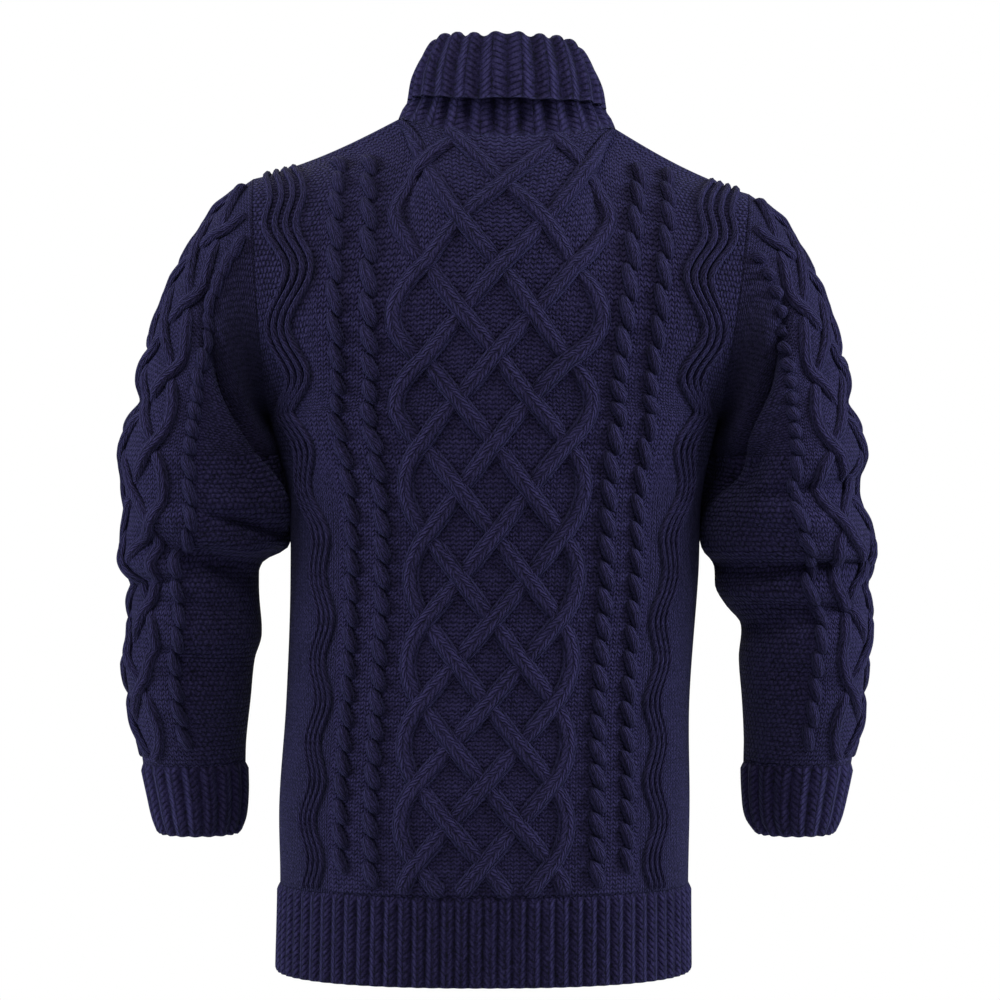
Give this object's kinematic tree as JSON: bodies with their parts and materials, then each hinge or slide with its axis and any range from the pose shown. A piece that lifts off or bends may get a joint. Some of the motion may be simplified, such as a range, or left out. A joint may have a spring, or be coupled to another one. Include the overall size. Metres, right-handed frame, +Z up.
{
  "type": "shawl collar cardigan",
  "caption": "Worn long-sleeved cable-knit cardigan with a folded ribbed shawl collar, a buttoned ribbed front band, and ribbed hem and cuffs.",
  "frame": {"origin": "between the shoulders, at the height where the wearer's neck and shoulders carry the cloth", "axes": "+Z up along the garment, +X to the wearer's left, -Y out of the buttoned front"},
  "size_m": [0.6372, 0.2584, 0.7801],
  "materials": {
    "back": "matte wool knit",
    "front_left": "matte wool knit",
    "front_right": "matte wool knit",
    "sleeve_left": "matte wool knit",
    "sleeve_right": "matte wool knit",
    "collar": "matte wool knit",
    "band_left": "matte wool knit",
    "band_right": "matte wool knit",
    "hem_back": "matte wool knit",
    "hem_front_left": "matte wool knit",
    "hem_front_right": "matte wool knit",
    "cuff_left": "matte wool knit",
    "cuff_right": "matte wool knit",
    "button_1": "dark horn-look, soft gloss",
    "button_2": "dark horn-look, soft gloss",
    "button_3": "dark horn-look, soft gloss",
    "button_4": "dark horn-look, soft gloss",
    "button_5": "dark horn-look, soft gloss"
  },
  "bodies": {
    "root": {"back": "back", "front_left": "front_left", "front_right": "front_right", "sleeve_left": "sleeve_left", "sleeve_right": "sleeve_right", "collar": "collar", "band_left": "band_left", "band_right": "band_right", "hem_back": "hem_back", "hem_front_left": "hem_front_left", "hem_front_right": "hem_front_right", "cuff_left": "cuff_left", "cuff_right": "cuff_right", "button_1": "button_1", "button_2": "button_2", "button_3": "button_3", "button_4": "button_4", "button_5": "button_5"}
  },
  "joints": []
}
